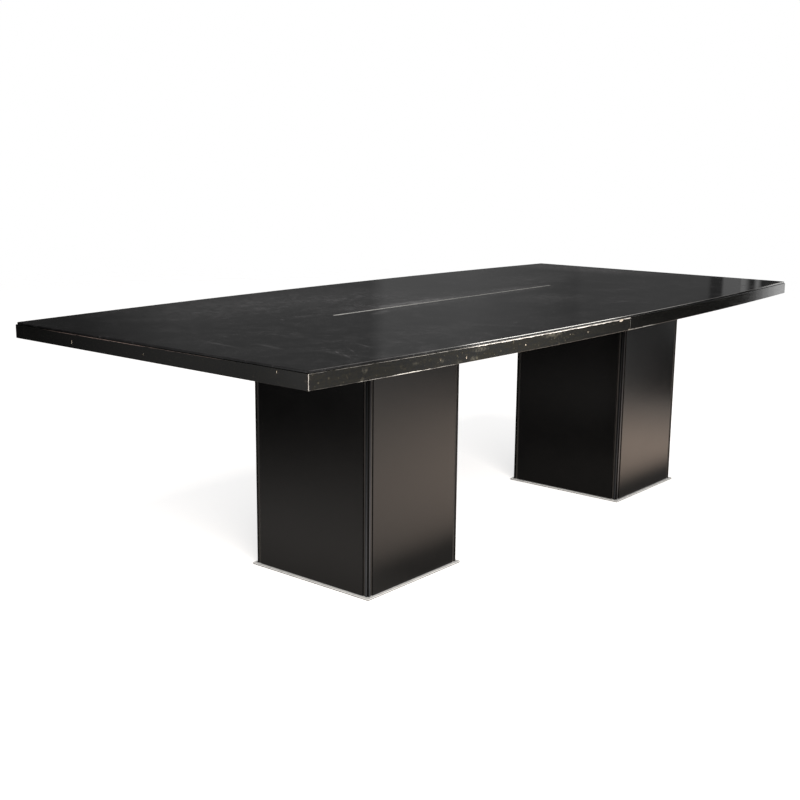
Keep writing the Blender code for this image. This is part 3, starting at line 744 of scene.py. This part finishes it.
specks = node(tree, "ValToRGB", {"Fac": dust}, stops=[(0.66, 0.0), (0.80, 0.6)])["Color"]
film = node(tree, "Math", {"Value": haze, "Value_001": HAZE_FILM}, operation="MULTIPLY")["Value"]
for share, strength in ((rubs_and_painted_sheen, RUB_FILM), (scratched, SCRATCH_FILM), (specks, SPECK_FILM)):
    film = node(tree, "Math", {
        "Value": share, "Value_001": strength, "Value_002": film,
    }, operation="MULTIPLY_ADD")["Value"]
clouded = node(tree, "Mix", {
    "Factor_Float": film, "A_Color": linear(GLASS_BLACK), "B_Color": linear(DUST_GREY),
}, data_type="RGBA")["Result_Color"]

# the ground arris shows wherever the sheet's surface is neither level nor upright
slope = node(tree, "SeparateXYZ", {"Vector": node(tree, "NewGeometry")["True Normal"]})["Z"]
slope = node(tree, "Math", {"Value": slope}, operation="ABSOLUTE")["Value"]
off_upright = node(tree, "Math", {
    "Value": slope, "Value_001": ARRIS_FACING[0],
}, operation="GREATER_THAN")["Value"]
off_flat = node(tree, "Math", {
    "Value": slope, "Value_001": ARRIS_FACING[1],
}, operation="LESS_THAN")["Value"]
arris = node(tree, "Math", {"Value": off_flat, "Value_001": off_upright}, operation="MULTIPLY")["Value"]
along = node(tree, "MapRange", {
    "Value": axes["X"], "From Min": glass_low.x, "From Max": glass_high.x,
})["Result"]
# painted glint and shade: the arris's paleness along the sheet stands in for where it catches light
ground = node(tree, "ValToRGB", {"Fac": along}, stops=ARRIS_GLINT_AND_SHADE)["Color"]
bright_arris = node(tree, "Math", {"Value": arris, "Value_001": ground}, operation="MULTIPLY")["Value"]
glass_colour = node(tree, "Mix", {
    "Factor_Float": bright_arris, "A_Color": clouded, "B_Color": linear(ARRIS_GREY),
}, data_type="RGBA")["Result_Color"]
glass_gloss = node(tree, "MapRange", {"Value": haze, "To Min": 0.05, "To Max": 0.22})["Result"]
glass_roughness = node(tree, "Mix", {
    "Factor_Float": arris, "A_Float": glass_gloss, "B_Float": 0.55,
}, data_type="FLOAT")["Result_Float"]
arris_shine = node(tree, "MapRange", {
    "Value": ground, "From Min": 0.02, "From Max": 0.2, "To Min": DULL_SHINE, "To Max": POLISHED_SHINE,
})["Result"]
glass_shine = node(tree, "Mix", {
    "Factor_Float": arris, "A_Float": POLISHED_SHINE, "B_Float": arris_shine,
}, data_type="FLOAT")["Result_Float"]
glass = node(tree, "BsdfPrincipled", {
    "Base Color": glass_colour, "Roughness": glass_roughness, "IOR": 1.52,
    "Specular IOR Level": glass_shine,
})
node(tree, "OutputMaterial", {"Surface": glass["BSDF"]})
coat(black_glass, "glass_top")

# Centre inlay: a flat strip of satin aluminium let into the sheet along the middle of the table.
# It is bedded level with the glass and has dulled to a soft white sheen.
INLAY_COLOUR = "#bfbfbd"
INLAY_GRAIN_MM = 30.0
INLAY_DULLED = 0.5  # share of its paleness left from mid-length onwards

# Blasted aluminium: an even pale metal that spreads light more than it mirrors.
satin_aluminium, tree = start_material("blasted_satin_aluminium")
place = node(tree, "TexCoord")["Object"]
tarnish = node(tree, "TexNoise", {
    "Vector": place, "Scale": per_metre(INLAY_GRAIN_MM), "Detail": 6.0,
})["Fac"]
inlay_tone = node(tree, "ValToRGB", {"Fac": tarnish}, stops=[(0.30, 0.75), (0.60, 1.0)])["Color"]
inlay_low, inlay_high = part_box("centre_inlay")
along = node(tree, "SeparateXYZ", {"Vector": place})["X"]
dulled = node(tree, "MapRange", {
    "Value": along, "From Min": inlay_low.x, "From Max": (inlay_low.x + inlay_high.x) / 2,
    "To Min": 1.0, "To Max": INLAY_DULLED,
})["Result"]
inlay_tone = node(tree, "Math", {"Value": inlay_tone, "Value_001": dulled}, operation="MULTIPLY")["Value"]
inlay_colour = node(tree, "Mix", {
    "Factor_Float": 1.0, "A_Color": linear(INLAY_COLOUR), "B_Color": inlay_tone,
}, data_type="RGBA", blend_type="MULTIPLY")["Result_Color"]
inlay_roughness = node(tree, "MapRange", {"Value": tarnish, "To Min": 0.5, "To Max": 0.7})["Result"]
aluminium = node(tree, "BsdfPrincipled", {
    "Base Color": inlay_colour, "Metallic": 0.35, "Roughness": inlay_roughness,
})
node(tree, "OutputMaterial", {"Surface": aluminium["BSDF"]})
coat(satin_aluminium, "centre_inlay")

# Floor: a plain pale studio floor that fades into the white behind it and keeps the table's shadow.
# The eye sees it lifted to white; reflections see a painted warm pool of light in front of the table,
# and painted shade that darkens the floor the further it lies behind the table and under it.
FLOOR_PALE = "#eeeceb"
FLOOR_REACH = 9.0
FADE_FROM = 5.0  # from here out to its rim the floor fades into the white
FLOOR_LIFT = 0.70
POOL_WARMTH = "#ffdcc0"
POOL_ALONG = (-0.6, 1.2)  # the pool brightens from left to right between these places
POOL_LEVELS = (0.5, 1.8)
POOL_EDGES = [("X", 1.4, 2.3), ("Y", -0.52, -0.39), ("Y", -0.9, -2.0)]  # axis, where whole, where gone
BEHIND_Y = (0.5, 1.6)  # behind the table, reflections find the floor dimmer between these places
BEHIND_LEVELS = (0.9, 0.15)
BEYOND_X = (-1.1, -2.3)  # and dimmer still past its left end
BEYOND_LEVEL = 0.2
UNDER_X = (-1.0, -0.5)  # the top's own shade starts between these places
UNDER_Y = (-0.50, -0.38)
UNDER_LEVEL = 0.45

floor_material, tree = start_material("pale_studio_floor")
place = node(tree, "TexCoord")["Object"]
path = node(tree, "LightPath")
seen = node(tree, "Math", {
    "Value": path["Is Camera Ray"], "Value_001": path["Is Transmission Ray"],
}, operation="MAXIMUM")["Value"]
axes = node(tree, "SeparateXYZ", {"Vector": place})
# painted pool of light, seen only by reflections
pool = node(tree, "MapRange", {
    "Value": axes["X"], "From Min": POOL_ALONG[0], "From Max": POOL_ALONG[1],
    "To Min": POOL_LEVELS[0], "To Max": POOL_LEVELS[1],
})["Result"]
for axis, whole, gone in POOL_EDGES:
    share = node(tree, "MapRange", {"Value": axes[axis], "From Min": gone, "From Max": whole})["Result"]
    pool = node(tree, "Math", {"Value": pool, "Value_001": share}, operation="MULTIPLY")["Value"]
seen = node(tree, "Math", {
    "Value": path["Is Glossy Ray"], "Value_001": pool, "Value_002": seen,
}, operation="MULTIPLY_ADD")["Value"]
glow_colour = node(tree, "Mix", {
    "Factor_Float": path["Is Glossy Ray"],
    "A_Color": (1.0, 1.0, 1.0, 1.0), "B_Color": linear(POOL_WARMTH),
}, data_type="RGBA")["Result_Color"]

# painted shade for reflections, behind the table, past its left end and under it
behind = node(tree, "MapRange", {
    "Value": axes["Y"], "From Min": BEHIND_Y[0], "From Max": BEHIND_Y[1],
    "To Min": BEHIND_LEVELS[0], "To Max": BEHIND_LEVELS[1],
})["Result"]
beyond = node(tree, "MapRange", {
    "Value": axes["X"], "From Min": BEYOND_X[0], "From Max": BEYOND_X[1],
    "To Min": 1.0, "To Max": BEYOND_LEVEL,
})["Result"]
behind = node(tree, "Math", {"Value": behind, "Value_001": beyond}, operation="MULTIPLY")["Value"]
under = node(tree, "MapRange", {
    "Value": axes["X"], "From Min": UNDER_X[0], "From Max": UNDER_X[1],
})["Result"]
within = node(tree, "MapRange", {
    "Value": axes["Y"], "From Min": UNDER_Y[0], "From Max": UNDER_Y[1],
})["Result"]
under = node(tree, "Math", {"Value": under, "Value_001": within}, operation="MULTIPLY")["Value"]
under = node(tree, "MapRange", {"Value": under, "To Min": 1.0, "To Max": UNDER_LEVEL})["Result"]
dimmed = node(tree, "Math", {"Value": behind, "Value_001": under}, operation="MULTIPLY")["Value"]
dimmed = node(tree, "Mix", {
    "Factor_Float": path["Is Glossy Ray"], "A_Float": 1.0, "B_Float": dimmed,
}, data_type="FLOAT")["Result_Float"]
floor_colour = node(tree, "Mix", {
    "Factor_Float": dimmed, "A_Color": (0.0, 0.0, 0.0, 1.0), "B_Color": linear(FLOOR_PALE),
}, data_type="RGBA")["Result_Color"]
lit = node(tree, "BsdfDiffuse", {"Color": floor_colour})["BSDF"]
lift = node(tree, "Math", {"Value": seen, "Value_001": FLOOR_LIFT}, operation="MULTIPLY")["Value"]
glow = node(tree, "Emission", {"Color": glow_colour, "Strength": lift})["Emission"]
pale = node(tree, "AddShader", {"Shader": lit, "Shader_001": glow})["Shader"]
far_out = node(tree, "VectorMath", {"Vector": place}, operation="LENGTH")["Value"]
fade = node(tree, "MapRange", {
    "Value": far_out, "From Min": FADE_FROM, "From Max": FLOOR_REACH,
})["Result"]
clear = node(tree, "BsdfTransparent")["BSDF"]
floor_look = node(tree, "MixShader", {"Fac": fade, "Shader": pale, "Shader_001": clear})["Shader"]
node(tree, "OutputMaterial", {"Surface": floor_look})

shape = bmesh.new()
bmesh.ops.create_circle(shape, cap_ends=True, segments=96, radius=FLOOR_REACH)
mesh = bpy.data.meshes.new("studio_floor")
shape.to_mesh(mesh)
shape.free()
mesh.materials.append(floor_material)
floor = bpy.data.objects.new("studio_floor", mesh)
scene.collection.objects.link(floor)

# Studio walls: a ring of grey screens that only reflections see, so that the black top mirrors
# a dim room with a bright opening past its right end, as polished black furniture does indoors.
WALL_RADIUS = 2.5
WALL_HEIGHT = 2.4
WALL_DIM = 0.03
FOOT_FADE = 0.25  # how far above its foot a raised screen comes up to full brightness
HEAD_FADE = 0.08
TALL = WALL_HEIGHT

# Screens: bearings in degrees from the right end where one starts and stops, how far it fades before
# and after, its foot and head above the floor, and its brightness.
SCREENS = [
    (-180, -160, 1, 20, 0.15, TALL, 0.60), (-115, -86, 30, 14, 0.0, TALL, 0.50),
    (-66, -60, 24, 22, 0.0, TALL, 0.62), (-35, -31, 6, 6, 0.0, 0.34, 0.45),
    (-18.5, -18.5, 4.5, 8, 0.22, TALL, 1.85), (1.25, 1.35, 0.5, 0.5, 0.0, TALL, 0.23),
    (2.8, 3.2, 0.8, 0.3, 0.0, TALL, 0.21), (3.4, 5.2, 0.3, 0.4, 0.0, TALL, 0.145),
    (7.1, 22, 0.8, 8, 0.0, TALL, 0.075), (36, 46.3, 30, 5, 0.0, TALL, 0.118),
    (44, 72, 6, 20, 0.0, TALL, 0.074), (158, 160, 17, 8, 0.15, TALL, 0.30),
    (168, 180, 10, 1, 0.15, TALL, 0.62),
]

wall_material, tree = start_material("grey_studio_wall")
place = node(tree, "TexCoord")["Object"]
bearing = node(tree, "TexGradient", {"Vector": place}, gradient_type="RADIAL")["Fac"]
bearing = node(tree, "MapRange", {"Value": bearing, "To Min": -180.0, "To Max": 180.0})["Result"]
height = node(tree, "SeparateXYZ", {"Vector": place})["Z"]
wall_level = WALL_DIM
for first, last, fade_in, fade_out, foot, head, level in SCREENS:
    begun = node(tree, "MapRange", {
        "Value": bearing, "From Min": first - fade_in, "From Max": first,
    })["Result"]
    not_over = node(tree, "MapRange", {
        "Value": bearing, "From Min": last, "From Max": last + fade_out, "To Min": level, "To Max": 0.0,
    })["Result"]
    screen = node(tree, "Math", {"Value": begun, "Value_001": not_over}, operation="MULTIPLY")["Value"]
    ends = [(foot, foot + FOOT_FADE)] if foot > 0 else []
    if head < TALL:
        ends.append((head + HEAD_FADE, head))
    for dark, bright in ends:
        share = node(tree, "MapRange", {"Value": height, "From Min": dark, "From Max": bright})["Result"]
        screen = node(tree, "Math", {"Value": screen, "Value_001": share}, operation="MULTIPLY")["Value"]
    wall_level = node(tree, "Math", {
        "Value": wall_level, "Value_001": screen,
    }, operation="MAXIMUM")["Value"]
wall_glow = node(tree, "Emission", {"Strength": wall_level})["Emission"]
node(tree, "OutputMaterial", {"Surface": wall_glow})

shape = bmesh.new()
ring = bmesh.ops.create_circle(shape, segments=128, radius=WALL_RADIUS)["verts"]
edges = list({edge for corner in ring for edge in corner.link_edges})
rim = bmesh.ops.extrude_edge_only(shape, edges=edges)["geom"]
for corner in (item for item in rim if isinstance(item, bmesh.types.BMVert)):
    corner.co.z += WALL_HEIGHT
mesh = bpy.data.meshes.new("studio_walls")
shape.to_mesh(mesh)
shape.free()
mesh.materials.append(wall_material)
walls = bpy.data.objects.new("studio_walls", mesh)
walls.visible_camera = False
walls.visible_diffuse = False
walls.visible_shadow = False
walls.visible_transmission = False
scene.collection.objects.link(walls)

# Light: a wide lamp high at the left front, a small soft one over the right front and a dim light
# all round. The world is white to the eye and to reflections above the walls.
LAMPS = [  # name, place, point it is turned to, width and depth, power in watts
    ("wide_front", (-2.6, -3.6, 2.6), (-0.3, -0.3, 0.3), (2.4, 1.6), 230.0),
    ("soft_overhead", (0.6, -0.9, 3.2), (0.6, -0.9, 0.0), (1.2, 1.0), 40.0),
]
LAMP_WARMTH = "#fff8f0"
AMBIENT = 0.42

for name, spot, aim, (width, depth), power in LAMPS:
    light = bpy.data.lights.new(name, "AREA")
    light.shape = "RECTANGLE"
    light.size = width
    light.size_y = depth
    light.energy = power
    light.color = linear(LAMP_WARMTH)[:3]
    lamp = bpy.data.objects.new(name, light)
    lamp.location = spot
    lamp.rotation_euler = (Vector(aim) - Vector(spot)).to_track_quat("-Z", "Y").to_euler()
    lamp.visible_glossy = False
    scene.collection.objects.link(lamp)

world = bpy.data.worlds.new("white_studio")
world.use_nodes = True
tree = world.node_tree
tree.nodes.clear()
path = node(tree, "LightPath")
seen = node(tree, "Math", {
    "Value": path["Is Camera Ray"], "Value_001": path["Is Glossy Ray"],
}, operation="MAXIMUM")["Value"]
seen = node(tree, "Math", {
    "Value": seen, "Value_001": path["Is Transmission Ray"],
}, operation="MAXIMUM")["Value"]
dim = node(tree, "Background", {"Strength": AMBIENT})["Background"]
white = node(tree, "Background", {"Color": (1.0, 1.0, 1.0, 1.0), "Strength": 1.0})["Background"]
sky = node(tree, "MixShader", {"Fac": seen, "Shader": dim, "Shader_001": white})["Shader"]
node(tree, "OutputWorld", {"Surface": sky})
scene.world = world

# Camera: at chest height off the table's left front corner, looking a little down along the table.
EYE = Vector((-3.0470, -2.2466, 1.1823))
YAW = 0.69052
PITCH = 0.20406
ROLL = 0.00982
LENS_MM = 52.425
SENSOR_MM = 36.0

ahead = Vector((math.cos(PITCH) * math.cos(YAW), math.cos(PITCH) * math.sin(YAW), -math.sin(PITCH)))
level_right = ahead.cross(Vector((0.0, 0.0, 1.0))).normalized()
level_up = level_right.cross(ahead)
right = math.cos(ROLL) * level_right + math.sin(ROLL) * level_up
up = -math.sin(ROLL) * level_right + math.cos(ROLL) * level_up
camera_data = bpy.data.cameras.new("camera")
camera_data.lens = LENS_MM
camera_data.sensor_width = SENSOR_MM
camera = bpy.data.objects.new("camera", camera_data)
turn = Matrix((right, up, -ahead)).transposed().to_4x4()
camera.matrix_world = Matrix.Translation(EYE) @ turn
scene.collection.objects.link(camera)
scene.camera = camera
